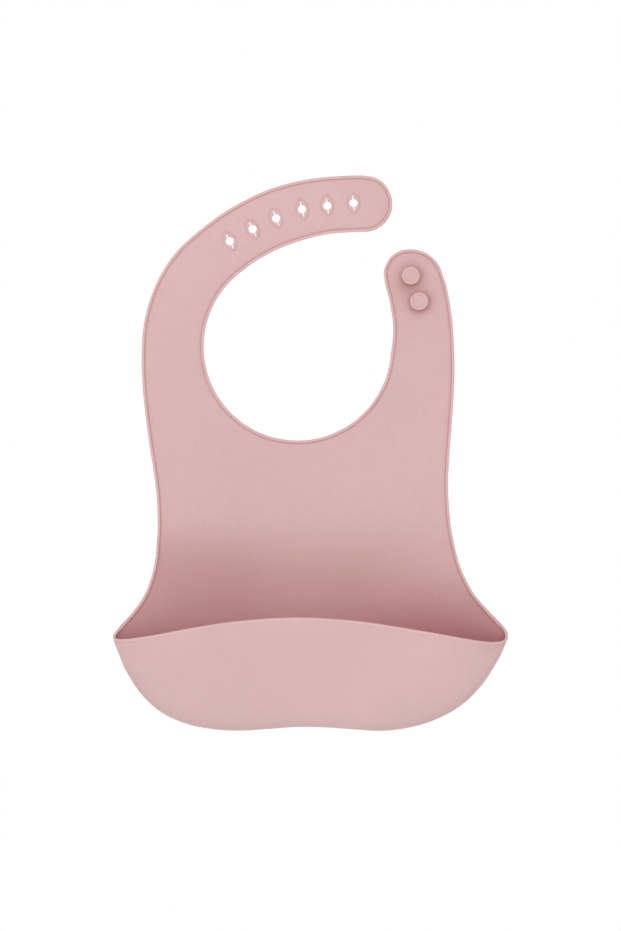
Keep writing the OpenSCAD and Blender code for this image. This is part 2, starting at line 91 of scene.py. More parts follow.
# From the neck round the short strap and down the right side
RIGHT = [
    (53.6, -3.5), (54.8, 4.8), (54.9, 12.8), (53.9, 20.3), (52.4, 28.3), (50.4, 35.8),
    (49.7, 43.8), (53.4, 51.3), (59.7, 55.2), (67.8, 55.7), (75.2, 52.8), (80.8, 47.3),
    (83.8, 39.9), (86, 32.4), (88.6, 16.9), (89.8, 0.8), (90.1, -15.3), (89.4, -31.4),
    (88.3, -46.9), (87.1, -62.9), (86.4, -79), (87.2, -95.1)]
# Flared edges down to the corners of the pocket
FLARE_LEFT = [
    (-80.4, -108.6), (-81.9, -124.5), (-86.3, -139.7), (-92.8, -150.4), (-99.3, -157.7),
    (-103.1, -162.2), (-104.45, -164.2), TIP_LEFT]
FLARE_RIGHT = [
    (89, -108.9), (93.3, -126), (100.2, -140.3), (107.6, -149.4), (114.9, -157.0),
    (118.2, -160.7), (119.5, -163.3), TIP_RIGHT]
# Bottom line and lip of the pocket
BOTTOM = [
    TIP_LEFT, (-103.75, -169.2), (-100.8, -176.6), (-97.6, -184.2), (-89.1, -197.4),
    (-77.7, -208), (-63, -214.8), (-47.6, -217.9), (-31.7, -218.7), (-15.8, -217.7),
    (0.7, -216.6), (16.6, -216.9), (32.5, -218), (48.4, -218.8), (64.3, -216.8),
    (79.1, -212.2), (93.3, -204.2), (104.7, -193), (113.2, -180), (116.9, -172.7), TIP_RIGHT]
LIP = [
    TIP_LEFT, (-102.6, -166.3), (-99, -166.35), (-93, -165.75), (-80.1, -163.6),
    (-59.8, -159.6), (-39.6, -156.3), (-19.4, -154.3), (-0.9, -153.5), (17.6, -154.1),
    (37.8, -156), (58, -159.1), (78.2, -162.6), (98.6, -166.4), (107, -167.65),
    (112.7, -167.95), (116.4, -167.4), TIP_RIGHT]
# Centre line of the bead round the two corners, by side: x, y, z
TURNS = {
    -1: [(-102.45, -20.5, -162.8), (-103.6, -21.0, -164.55), (-103.8, -21.7, -165.75),
         (-103.25, -22.6, -166.75), (-101.9, -24.2, -167.25), (-99.6, -26.0, -167.3)],
    1: [(117.35, -20.3, -160.95), (118.55, -20.8, -163.2), (118.85, -21.6, -165.2),
        (118.35, -22.9, -166.85), (117.0, -24.5, -167.95), (114.9, -26.3, -168.6)]}
SLOTS = [(-38.8, 60.6), (-25.7, 67.5), (-12.2, 73.7), (2.7, 78.9), (17.2, 80.9), (32.2, 82.5)]
STUD_UPPER, STUD_LOWER = (64.95, 40.6), (69.7, 25.95)
LONG_BEND, LONG_BEND_ANGLE = (-54.4, 45.7), 50  # a joint of the long strap, its run in degrees

POCKET_X = (TIP_LEFT[0] + TIP_RIGHT[0]) / 2
POCKET_HALF_WIDTH = (TIP_RIGHT[0] - TIP_LEFT[0]) / 2


# ------------------------------------------------------------------ curve tools
def spline(points, step):
    """Catmull-Rom curve through points, sampled about every step mm."""
    points = np.array(points, float)
    last = len(points) - 1
    out = []
    for i in range(last):
        before, start = points[max(i - 1, 0)], points[i]
        end, after = points[i + 1], points[min(i + 2, last)]
        count = max(2, int(math.ceil(np.linalg.norm(end - start) / step)))
        for k in range(count):
            t = k / count
            out.append(0.5 * (2 * start + (end - before) * t
                              + (2 * before - 5 * start + 4 * end - after) * t * t
                              + (3 * start - before - 3 * end + after) * t ** 3))
    return np.array(out + [points[-1]])


def smooth(value):
    """Smoothstep from 0 to 1."""
    value = np.clip(value, 0, 1)
    return value * value * (3 - 2 * value)


def unit(vectors):
    return vectors / np.maximum(np.linalg.norm(vectors, axis=-1, keepdims=True), 1e-12)


def differences(points):
    """Central differences along the first axis, one-sided at the ends."""
    out = np.empty_like(points)
    out[1:-1] = points[2:] - points[:-2]
    out[0], out[-1] = points[1] - points[0], points[-1] - points[-2]
    return out


def inside(points, loop):
    """Which points lie inside a closed polygon."""
    x, z = points[:, 0][:, None], points[:, 1][:, None]
    start, end = loop, np.roll(loop, -1, axis=0)
    spans = (start[:, 1] > z) != (end[:, 1] > z)
    slope = (end[:, 0] - start[:, 0]) * (z - start[:, 1]) / (end[:, 1] - start[:, 1] + 1e-15)
    return (spans & (x < slope + start[:, 0])).sum(1) % 2 == 1


def loop_distance(points, loop):
    """Distance from each point to a closed polygon."""
    runs = np.roll(loop, -1, axis=0) - loop
    best = np.full(len(points), 1e9)
    for start, run in zip(loop, runs):
        t = np.clip(((points - start) @ run) / max(run @ run, 1e-12), 0, 1)
        best = np.minimum(best, np.linalg.norm(points - start - t[:, None] * run, axis=1))
    return best


BOTTOM_CURVE, LIP_CURVE = spline(BOTTOM, 0.5), spline(LIP, 0.5)


def bottom_z(x):
    return np.interp(x, BOTTOM_CURVE[:, 0], BOTTOM_CURVE[:, 1])


def lip_z(x):
    return np.interp(x, LIP_CURVE[:, 0], LIP_CURVE[:, 1])


# ------------------------------------------------------------------ edge path
class EdgePath:
    """The edge in the front view, from the left corner of the pocket up and round
    the long strap, along the neck, round the short strap and down the right side.
    part is 0 on the left side and long strap, 1 on the neck, 2 on the rest."""

    def __init__(self):
        left = spline(FLARE_LEFT[::-1] + LEFT, PATH_STEP)
        right = spline(RIGHT + FLARE_RIGHT, PATH_STEP)
        # both sides end where they meet the neck circle
        k = len(left) - 1
        while np.hypot(*left[k]) < NECK_R + 0.01 or k > len(left) - 4:
            k -= 1
        left = left[: k + 1]
        k = 0
        while np.hypot(*right[k]) < NECK_R + 0.01:
            k += 1
        right = right[k:]
        start = math.degrees(math.atan2(left[-1][1], left[-1][0]))
        end = math.degrees(math.atan2(right[0][1], right[0][0])) % 360
        count = int((end - start) / 1.15)
        neck = np.array([[NECK_R * math.cos(math.radians(a)), NECK_R * math.sin(math.radians(a))]
                         for a in np.linspace(start, end, count + 1)[1:-1]])
        points = np.vstack([left, neck, right])
        # light smoothing where the straps meet the neck
        for _ in range(6):
            for c in (len(left), len(left) + len(neck)):
                points[c - 8: c + 8] = (0.5 * points[c - 8: c + 8]
                                        + 0.25 * (points[c - 9: c + 7] + points[c - 7: c + 9]))
        self.points = points
        self.part = np.array([0] * len(left) + [1] * len(neck) + [2] * len(right))

    def stretch(self, name):
        """First and end index of a named stretch."""
        x, z = self.points.T
        i = np.arange(len(x))
        on_left, on_neck, on_right = (self.part == k for k in range(3))
        long_tip = np.argmax(np.where(on_left, x, -1e9))
        short_top = np.argmax(np.where(on_right, z, -1e9))
        found = np.flatnonzero({
            "left side": on_left & (z < 30) & (x < -60),
            "right side": on_right & (x > 62) & (i > short_top),
            "long outer": on_left & (i < long_tip) & (z > 20),
            "long inner": (on_left & (i > long_tip)) | (on_neck & (x < -20) & (z > 8)),
            "neck left": on_neck & (x < 0),
            "neck right": (on_neck & (x > 0)) | (on_right & (x < 60)),
        }[name])
        return int(found[0]), int(found[-1]) + 1

    def cross(self, point, angle, stretch):
        """Makes a path point where a line crosses a stretch, and returns it."""
        start, end = self.stretch(stretch)
        normal = np.array([-math.sin(math.radians(angle)), math.cos(math.radians(angle))])
        side = (self.points[start:end] - np.array(point)) @ normal
        k = int(np.where(side[:-1] * side[1:] <= 0)[0][0])
        i = start + k
        share = side[k] / (side[k] - side[k + 1])
        crossing = self.points[i] + share * (self.points[i + 1] - self.points[i])
        if share < 0.3:
            self.points[i] = crossing
        elif share > 0.7:
            self.points[i + 1] = crossing
        else:
            self.points = np.insert(self.points, i + 1, crossing, axis=0)
            self.part = np.insert(self.part, i + 1, self.part[i])
        return crossing


# Cuts between the pieces: point x, z, angle in degrees, the two stretches crossed
CUT_LINES = {
    "pocket": ((0, POCKET_CUT_Z), 0, "left side", "right side"),
    "waist": ((0, -85), 0, "left side", "right side"),
    "chest": ((0, -57), 0, "left side", "right side"),
    "long_1": ((0, -4), 0, "left side", "neck left"),
    "long_2": ((0, 9.6), 0, "left side", "neck left"),
    "long_3": ((-62.8, 31.5), 157, "long outer", "long inner"),
    "long_4": ((LONG_BEND[0] + 10 * math.cos(math.radians(LONG_BEND_ANGLE)),
                LONG_BEND[1] + 10 * math.sin(math.radians(LONG_BEND_ANGLE))),
               LONG_BEND_ANGLE + 90, "long outer", "long inner"),
    "short_1": ((0, -4), 0, "neck right", "right side"),
    "short_2": ((0, 8.6), 0, "neck right", "right side"),
}
path = EdgePath()
crossings = {name: [path.cross(point, angle, stretch) for stretch in stretches]
             for name, (point, angle, *stretches) in CUT_LINES.items()}
EDGE = path.points
# path indices of both ends of each cut, in path order
CUT = {name: tuple(int(np.argmin(((EDGE - end) ** 2).sum(1))) for end in ends)
       for name, ends in crossings.items()}
tangent = unit(differences(EDGE))
INWARD = np.stack([tangent[:, 1], -tangent[:, 0]], 1)  # the sheet lies right of the path
for i in CUT["pocket"]:  # this cut runs level, so its ends step in level too
    INWARD[i] = [1 / INWARD[i][0], 0]


# ------------------------------------------------------------------ meshes
pieces = {}


class Piece:
    """Collects the closed shells of one piece, in mm, with three painted values:
    rubbed-edge wear with a painted highlight, painted shade that darkens the colour in the pocket
    and beside the studs, and inner, which holds back the painted occlusion shade."""

    def __init__(self):
        self.verts, self.faces, self.sharp = [], [], []
        self.paint = {"wear": [], "hollow": [], "inner": []}

    def add(self, verts, faces, sharp, **paint):
        start = len(self.verts)
        for key, values in self.paint.items():
            values += list(paint.get(key, np.zeros(len(verts))))
        self.verts += [tuple(float(c) * MM for c in v) for v in verts]
        self.faces += [tuple(int(start + i) for i in face) for face in faces]
        self.sharp += [(start + a, start + b) for a, b in sharp]

    def make(self, name):
        mesh = bpy.data.meshes.new(name)
        mesh.from_pydata(self.verts, [], self.faces)
        mesh.update()
        mesh.shade_smooth()
        sharp = {tuple(sorted(edge)) for edge in self.sharp}
        flags = [tuple(sorted(edge.vertices)) in sharp for edge in mesh.edges]
        attribute = (mesh.attributes.get("sharp_edge")
                     or mesh.attributes.new("sharp_edge", "BOOLEAN", "EDGE"))
        attribute.data.foreach_set("value", flags)
        mesh.validate()
        pieces[name] = bpy.data.objects.new(name, mesh)
        bpy.context.scene.collection.objects.link(pieces[name])
        for key, values in self.paint.items():
            attribute = mesh.attributes.new(key, "FLOAT", "POINT")
            attribute.data.foreach_set("value", np.array(values, np.float32))
        # every shell must face outwards
        bm = bmesh.new()
        bm.from_mesh(mesh)
        bmesh.ops.recalc_face_normals(bm, faces=bm.faces)
        bm.to_mesh(mesh)
        bm.free()


# ------------------------------------------------------------------ bead
# Section of the bead, closer set at its outermost point, which stands out slightly:
# first axis outwards from the sheet, second towards the front
SECTION_DEGREES = (0, 5, *range(18, 343, 18), 355)
SECTION = np.array([((1.035 if a == 0 else 1.0) * math.cos(math.radians(a)),
                     (1.035 if a == 0 else 1.0) * math.sin(math.radians(a)))
                    for a in SECTION_DEGREES])


def cord(piece, centre, out, front, half_depth=BEAD_HALF_DEPTH):
    """Closed oval tube through centre points; out and front are its section axes."""
    count, sides = len(centre), len(SECTION)
    half_depth = np.broadcast_to(half_depth, (count,))
    verts = [centre[i] + BEAD_HALF_WIDTH * a * out[i] + half_depth[i] * b * front[i]
             for i in range(count) for a, b in SECTION]
    flip = np.dot(np.cross(out[0], front[0]), centre[1] - centre[0]) < 0
    faces, sharp = [], []
    for i in range(count - 1):
        for j in range(sides):
            k = (j + 1) % sides
            faces.append((i * sides + j, i * sides + k, (i + 1) * sides + k, (i + 1) * sides + j))
    first, last, end = len(verts), len(verts) + 1, (count - 1) * sides
    verts += [centre[0], centre[-1]]
    for j in range(sides):
        k = (j + 1) % sides
        faces += [(first, k, j), (last, end + j, end + k)]
        sharp += [(j, k), (end + j, end + k)]
    if flip:
        faces = [face[::-1] for face in faces]
    # the front half of the bead is marked for wear and for a painted highlight
    ridge = smooth((SECTION[:, 1] + 0.15) / 0.95)
    piece.add(verts, faces, sharp, wear=np.concatenate([np.tile(ridge, count), [0.0, 0.0]]))


def flat_cord(piece, start, end):
    """Bead along the flat edge between two path indices."""
    i = np.arange(start, end + 1)
    centre = EDGE[i] + BEAD_HALF_WIDTH * INWARD[i]
    centre = np.stack([centre[:, 0], np.full(len(i), -BEAD_HALF_DEPTH), centre[:, 1]], 1)
    out = np.stack([-INWARD[i][:, 0], np.zeros(len(i)), -INWARD[i][:, 1]], 1)
    cord(piece, centre, out, np.tile([0.0, -1.0, 0.0], (len(i), 1)))


# ------------------------------------------------------------------ strap slots
def slot_axes(i):
    """Centre of a slot, and unit axes along and across the strap."""
    before, after = SLOTS[max(i - 1, 0)], SLOTS[min(i + 1, len(SLOTS) - 1)]
    along = unit(np.array(after) - np.array(before))
    return np.array(SLOTS[i]), along, np.array([-along[1], along[0]])


def at_slot(i, points):
    """Points given along and across the strap, placed at a slot."""
    centre, along, across = slot_axes(i)
    return centre + points[:, :1] * along + points[:, 1:] * across


def hole_outline(grow):
    """Outline of the hole and its slits, grown by so many mm."""
    radius = HOLE_R + grow
    tip, half = SLIT_TIP + grow * 1.6, SLIT_HALF_WIDTH + grow * 0.8
    mouth = math.asin(half / radius)
    # one flank of a slit: share of its half width, share of the way to its tip
    flank = [(half, math.sqrt(radius * radius - half * half))]
    flank += [(half * width, radius + way * (tip - radius))
              for width, way in ((0.92, 0.30), (0.72, 0.65), (0.36, 0.93))]
    slit = flank + [(0, tip)] + [(-a, b) for a, b in flank[::-1]]
    points = []
    for sign, start in ((1, math.pi / 2), (-1, math.pi * 1.5)):
        points += [(sign * a, sign * b) for a, b in slit]
        for k in range(1, 14):
            angle = start + mouth + (math.pi - 2 * mouth) * k / 14
            points.append((radius * math.cos(angle), radius * math.sin(angle)))
    return np.array(points)


def eye_inside(points):
    """Distance inside the nearest eye-shaped boss, negative outside."""
    best = np.full(len(points), -9.0)
    for i in range(len(SLOTS)):
        centre, along, across = slot_axes(i)
        u, v = (points - centre) @ along, (points - centre) @ across
        best = np.maximum(best, np.minimum(EYE_R - np.hypot(u - EYE_OFFSET, v),
                                           EYE_R - np.hypot(u + EYE_OFFSET, v)))
    return best


def eye_points(slot):
    """Points on lines that follow the edge of a boss."""
    out = []
    steps = 26
    for depth in (-0.9, -0.45, -0.15, 0.1, 0.35, 0.6, 0.95, 1.5):
        radius = EYE_R - depth
        half = math.acos(EYE_OFFSET / radius)
        for sign in (-1, 1):
            for j in range(steps + 1):
                angle = -half + 2 * half * j / steps
                out.append([sign * (radius * math.cos(angle) - EYE_OFFSET),
                            radius * math.sin(angle)])
    return at_slot(slot, np.array(out))


def pocket_painted_shade(x, z):
    """Painted shade down behind the pocket wall, 0 to 1: how much deeper and darker the colour is
    made there.
    """
    across = (x - POCKET_X) / POCKET_HALF_WIDTH
    begin = smooth((-92 - z) / 38)
    left, right = smooth(-across / 0.7), smooth(across / 0.85)
    fade = smooth((-132 - z) / 30)
    return ((1 - left - right) * 0.34 * begin * (1 - 0.5 * fade)
            + left * 0.68 * begin * (1 - 0.15 * fade)
            + right * (0.24 * begin + 0.74 * smooth((-122 - z) / 36)))


# ------------------------------------------------------------------ flat pieces
class Plan:
    """Points of a flat piece, how far each sinks below the front, and fixed links."""

    def __init__(self):
        self.points, self.sunk, self.links = [], [], []

    def put(self, point, sunk=0.0):
        self.points.append(Vector((float(point[0]), float(point[1]))))
        self.sunk.append(sunk)
        return len(self.points) - 1

    def put_loop(self, loop, sunk):
        ids = [self.put(point, sunk) for point in loop]
        self.links += closed_links(ids)


def closed_links(ids):
    return list(zip(ids, ids[1:] + ids[:1]))


def lay_outline(plan, runs):
    """Rings of points beside the edge, joined across the cuts. Returns the outline's ids."""
    rings = {}
    for start, end in runs:
        for i in range(start, end + 1):
            for ring in RINGS:
                rings[i, ring] = plan.put(EDGE[i] + ring * INWARD[i], GROOVE[ring])
        for ring in RINGS[1:]:
            plan.links += [(rings[i, ring], rings[i + 1, ring]) for i in range(start, end)]
    outline = []
    for k, (start, end) in enumerate(runs):
        outline += [rings[i, RINGS[0]] for i in range(start, end + 1)]
        following = runs[(k + 1) % len(runs)][0]
        # always laid out from the lower path index, so both neighbours share it
        low, high = min(end, following), max(end, following)
        near = EDGE[low] + RINGS[-1] * INWARD[low]
        far = EDGE[high] + RINGS[-1] * INWARD[high]
        count = max(3, int(np.linalg.norm(far - near) / 2.0))
        between = [near + (far - near) * j / count for j in range(1, count)]
        if end != low:
            between = between[::-1]
        outline += [rings[end, ring] for ring in RINGS[1:]]
        outline += [plan.put(point) for point in between]
        outline += [rings[following, ring] for ring in RINGS[:0:-1]]
    return outline


def lay_slots(plan):
    """Hole rims and boss lines. Returns the hole outlines and a wider line round each."""
    holes, margins = [], []
    for slot in range(len(SLOTS)):
        holes.append(at_slot(slot, hole_outline(0.0)))
        margins.append(at_slot(slot, hole_outline(0.45)))
        for grow, sunk in ((0.0, RIM_SINK), (0.12, 0.10), (0.3, 0.0)):
            plan.put_loop(at_slot(slot, hole_outline(grow)), sunk)
        points = eye_points(slot)
        for point in points[~inside(points, margins[-1])]:
            plan.put(point)
    return holes, margins


def fill_points(outline, pitch, fine_levels, margins):
    """Staggered grid inside the outline, finer near the given levels, clear of slots."""
    low, high = outline.min(0), outline.max(0)
    grid = []
    z, odd = low[1], False
    while z < high[1]:
        spacing = 2.0 if any(abs(z - level) < 9 for level in fine_levels) else pitch
        x = low[0] + (spacing / 2 if odd else 0)
        while x < high[0]:
            grid.append((x, z))
            x += spacing
        z += spacing * 0.87
        odd = not odd
    grid = np.array(grid)
    grid = grid[inside(grid, outline)]
    grid = grid[loop_distance(grid, outline) > 3.0]
    for margin in margins:
        grid = grid[~inside(grid, margin)]
    if margins:
        depth = eye_inside(grid)
        grid = grid[(np.abs(depth - 0.3) > 1.6) | (depth < -1.4)]
    return grid


def triangulate(plan, links, outline, holes):
    """Triangles inside the outline and outside the holes: points, triangles, sunk depths."""
    result = delaunay_2d_cdt(plan.points, links, [], 0, 1e-5)
    points = np.array([(p.x, p.y) for p in result[0]])
    triangles = np.array(list(result[2]), int)
    middle = points[triangles].mean(1)
    keep = inside(middle, outline)
    for hole in holes:
        keep &= ~inside(middle, hole)
    triangles = triangles[keep]
    corner = points[triangles]
    area = np.cross(corner[:, 1] - corner[:, 0], corner[:, 2] - corner[:, 0])
    triangles[area < 0] = triangles[area < 0][:, ::-1]
    used = np.unique(triangles)
    renumber = -np.ones(len(points), int)
    renumber[used] = np.arange(len(used))
    sunk = np.array([plan.sunk[result[3][i][0]] if len(result[3][i]) else 0.0 for i in used])
    return points[used], renumber[triangles], sunk


def flat_piece(name, runs, pitch=3.0, fine_levels=(), slotted=False):
    """Sheet and bead between cuts. runs are the piece's stretches of the path, in order."""
    plan = Plan()
    outline_ids = lay_outline(plan, runs)
    outline = np.array([plan.points[i] for i in outline_ids])
    holes, margins = lay_slots(plan) if slotted else ([], [])
    for point in fill_points(outline, pitch, fine_levels, margins):
        plan.put(point)
    links = closed_links(outline_ids) + plan.links
    points, triangles, sunk = triangulate(plan, links, outline, holes)
    x, z = points.T

    depth = eye_inside(points)
    boss = EYE_RISE * smooth((depth - 0.1) / 0.66) - 0.08 * np.exp(-((depth + 0.1) / 0.22) ** 2)
    soft_rim = (sunk > 0.3) & (boss > 0.1)
    front_y = -SHEET - boss + sunk
    # the back of each hole has a softened rim as well
    back_y = -np.where(soft_rim, 0.22, 0.0)
    verts = list(zip(x, front_y, z)) + list(zip(x, back_y, z))
    n = len(points)
    faces = [tuple(t) for t in triangles] + [(c + n, b + n, a + n) for a, b, c in triangles]
    directed = {}
    for t in triangles:
        for j in range(3):
            directed[int(t[j]), int(t[(j + 1) % 3])] = True
    sharp = []
    for a, b in directed:
        if (b, a) in directed:
            continue
        faces.append((b, a, a + n, b + n))
        if not soft_rim[a]:
            sharp += [(a, b), (a + n, b + n)]
    # a soft shade is painted beside the studs
    painted_shade_amount = pocket_painted_shade(x, z) + 0.36 * np.exp(-((x - 59.4) ** 2 + (z - 33.6) ** 2) / 30)
    piece = Piece()
    piece.add(verts, faces, sharp, hollow=np.concatenate([painted_shade_amount, 0 * painted_shade_amount]))
    for start, end in runs:
        flat_cord(piece, start, end)
    piece.make(name)


def band(lower, upper):
    """Runs of a piece between two cuts."""
    return [(CUT[lower][0], CUT[upper][0]), (CUT[upper][1], CUT[lower][1])]


flat_piece("chest_sheet", [(CUT["chest"][0], CUT["long_1"][0]),
                           (CUT["long_1"][1], CUT["short_1"][0]),
                           (CUT["short_1"][1], CUT["chest"][1])])
flat_piece("waist_sheet_upper", band("waist", "chest"), fine_levels=(-70, -100))
flat_piece("waist_sheet_lower", band("pocket", "waist"), fine_levels=(-70, -100))
STRAPS = {
    "long_strap_lower": band("long_1", "long_2"),
    "long_strap_middle": band("long_2", "long_3"),
    "long_strap_curve": band("long_3", "long_4"),
    "long_strap_holes": [CUT["long_4"]],
    "short_strap_lower": band("short_1", "short_2"),
    "short_strap_end": [CUT["short_2"]],
}
for name, runs in STRAPS.items():
    flat_piece(name, runs, pitch=2.0, slotted=name == "long_strap_holes")


# ------------------------------------------------------------------ pocket surfaces
# "across" runs from -1 at the left corner to 1 at the right one
def back_bottom_y(across):
    """Depth of the back panel at its foot: forward at the corners, 0 in the middle."""
    bulge = np.maximum(0, 1 - np.minimum(1, np.abs(across)) ** 3) ** 0.88
    return -CORNER_Y + CORNER_Y * bulge


def back_y(x, z):
    """The back panel curves forward at its sides on the way down."""
    return back_bottom_y((x - POCKET_X) / POCKET_HALF_WIDTH) * smooth((-112 - z) / 53)


def back_normal(x, z, step=0.2):
    """Unit normal of the back panel, towards the front."""
    slope_x = (back_y(x + step, z) - back_y(x - step, z)) / (2 * step)
    slope_z = (back_y(x, z + step) - back_y(x, z - step)) / (2 * step)
    return unit(np.stack([slope_x, -np.ones_like(slope_x), slope_z], -1))


def fullness(across):
    """Share of the wall's depth and lean, falling to 0 at the corners."""
    return np.maximum(0, 1 - np.minimum(1, np.abs(across)) ** 4.2) ** 0.58


def heights(across):
    """x, height of the pocket, and heights of its rounding at the back and front."""
    x = POCKET_X + across * POCKET_HALF_WIDTH
    height = lip_z(x) - bottom_z(x)
    return x, height, BACK_ROUND * height, FRONT_ROUND * height


def back_point(across, rise):
    """Back rounding; rise is 0 on the bottom line and 1 where the panel begins."""
    x, _, back_round, _ = heights(across)
    power, angle = 2 / ROUND_POWER, np.full_like(across, rise) * math.pi / 2
    y = -CORNER_Y + (back_bottom_y(across) + CORNER_Y) * np.sin(angle) ** power
    return np.stack([x, y, bottom_z(x) + back_round * (1 - np.cos(angle) ** power)], -1)


def front_point(across, rise):
    """Front rounding; rise is 0 on the bottom line and 1 at the foot of the wall."""
    x, _, _, front_round = heights(across)
    power, angle = 2 / ROUND_POWER, np.full_like(across, rise) * math.pi / 2
    lean = LEAN * fullness(across)
    foot_y = -CORNER_Y - (WALL_FOOT_Y - CORNER_Y) * fullness(across)
    z = bottom_z(x) + front_round * (1 - np.cos(angle) ** power)
    reach = -CORNER_Y - foot_y - lean * front_round
    y = -CORNER_Y - reach * np.sin(angle) ** power - lean * (z - bottom_z(x))
    return np.stack([x, y, z], -1)


def wall_point(across, rise):
    """Front wall; rise is 0 at its foot and 1 at the lip, which rolls slightly outwards."""
    _, height, _, front_round = heights(across)
    wall = height - front_round
    roll = 0.5 * fullness(across) * rise ** 3
    y = -LEAN * fullness(across) * wall * rise - roll
    return front_point(across, 1.0) + np.stack([np.zeros_like(across), y, wall * rise], -1)


# Columns: measured steps in mm from each edge, then spread over the middle
EDGE_STEPS = [0.0, 0.12, 0.35, 0.7, 1.1] + RINGS[1:]
MIDDLE_COLUMNS = 84
spread = np.linspace(-1, 1, MIDDLE_COLUMNS)
MIDDLE_SHARES = 0.5 + 0.5 * np.sign(spread) * (1 - (1 - np.abs(spread)) ** 1.55)
# Rows: down the panel, down the back rounding (mirrored up the front), up the wall
PANEL_ROWS = np.linspace(0, 1, 26) ** 0.95
ROUND_ROWS = [0.93, 0.86, 0.78, 0.70, 0.62, 0.54, 0.46, 0.38, 0.30, 0.22, 0.15, 0.09,
              0.045, 0.02, 0.006]
WALL_ROWS = np.linspace(0, 1, 13)[:-1]
LIP_BAND = 2.6  # the last rows below the lip keep within this
# flared edges, from low to high
FLARE_CURVES = (spline(FLARE_LEFT[::-1] + LEFT[:3], 0.6),
                spline(RIGHT[-3:] + FLARE_RIGHT, 0.6)[::-1])


def flare_at(curve, z):
    return np.interp(z, curve[:, 1], curve[:, 0])


def panel_row(down):
    """One row of the back panel, left to right; down is 0 at the cut and 1 at its foot."""
    ends = []
    for curve, tip in zip(FLARE_CURVES, (TIP_LEFT, TIP_RIGHT)):
        z = POCKET_CUT_Z + (tip[1] - POCKET_CUT_Z) * down
        x = flare_at(curve, z)
        step = 0.4
        slope = abs(flare_at(curve, z + step) - x) / step
        ends.append((x, z, np.array(EDGE_STEPS) * math.hypot(1, slope)))
    (left_x, left_z, left_steps), (right_x, right_z, right_steps) = ends
    width = right_x - left_x
    middle = width - left_steps[-1] - right_steps[-1]
    x = np.concatenate([left_x + left_steps[:-1],
                        left_x + left_steps[-1] + middle * MIDDLE_SHARES,
                        (right_x - right_steps[:-1])[::-1]])
    share = (x - left_x) / width
    foot_x = TIP_LEFT[0] + (TIP_RIGHT[0] - TIP_LEFT[0]) * share
    back_round = heights((foot_x - POCKET_X) / POCKET_HALF_WIDTH)[2]
    straight = TIP_LEFT[1] + (TIP_RIGHT[1] - TIP_LEFT[1]) * share
    sag = (bottom_z(foot_x) + back_round) - straight
    z = left_z + (right_z - left_z) * share + down ** 3 * sag
    return np.stack([x, back_y(x, z), z], -1)


def pocket_outside():
    """Rows of the pocket's outer face, the row of the bottom line, and the columns' across."""
    rows = [panel_row(down) for down in PANEL_ROWS]
    across = np.clip((rows[-1][:, 0] - POCKET_X) / POCKET_HALF_WIDTH, -1, 1)
    rows += [back_point(across, rise) for rise in ROUND_ROWS]
    split = len(rows)
    rows.append(back_point(across, 0.0))
    rows += [front_point(across, rise) for rise in ROUND_ROWS[::-1]]
    _, height, _, front_round = heights(across)
    wall = height - front_round
    rows += [wall_point(across, rise * (1 - LIP_BAND / np.maximum(wall, 6)))
             for rise in WALL_ROWS]
    for ring in RINGS[::-1]:
        rise = 1 - np.minimum(ring, 0.30 * wall * ring / LIP_BAND) / np.maximum(wall, 1e-6)
        rows.append(wall_point(across, np.where(wall < 1e-6, 0, rise)))
    return np.array(rows), split, across


def pocket_inside(outer, across):
    """The outer face moved in by the thickness, which thins out at the corners."""
    along = differences(outer.swapaxes(0, 1)).swapaxes(0, 1)
    normal = unit(np.cross(differences(outer), along))
    for i, down in enumerate(PANEL_ROWS):
        panel = back_normal(outer[i][:, 0], outer[i][:, 2])
        share = smooth((down - 0.965) / 0.035)
        normal[i] = unit(panel * (1 - share) + normal[i] * share)
    normal[:, 0], normal[:, -1] = normal[:, 1], normal[:, -2]

    low = np.ones(len(outer))
    low[:len(PANEL_ROWS)] = smooth((PANEL_ROWS - 0.95) / 0.05)
    taper = 1 - 0.55 * smooth((np.abs(across) - 0.95) / 0.045)
    end_fade = 1 - 0.97 * smooth((np.abs(across) - 0.994) / 0.006)
    thickness = SHEET * (1 - low[:, None] * (1 - taper[None, :]))
    thickness = thickness * (1 - low[:, None] * (1 - end_fade[None, :]))
    # the groove beside the bead lies on the front of the panel and fades on the way down
    middle = np.full(MIDDLE_COLUMNS, 9.0)
    edge_distance = np.concatenate([EDGE_STEPS[:-1], middle, EDGE_STEPS[-2::-1]])
    groove = np.interp(edge_distance, RINGS, list(GROOVE.values()))
    fade = 1 - smooth((PANEL_ROWS - 0.6) / 0.25)
    thickness[:len(PANEL_ROWS)] -= groove[None, :] * fade[:, None]
    return outer + thickness[..., None] * normal


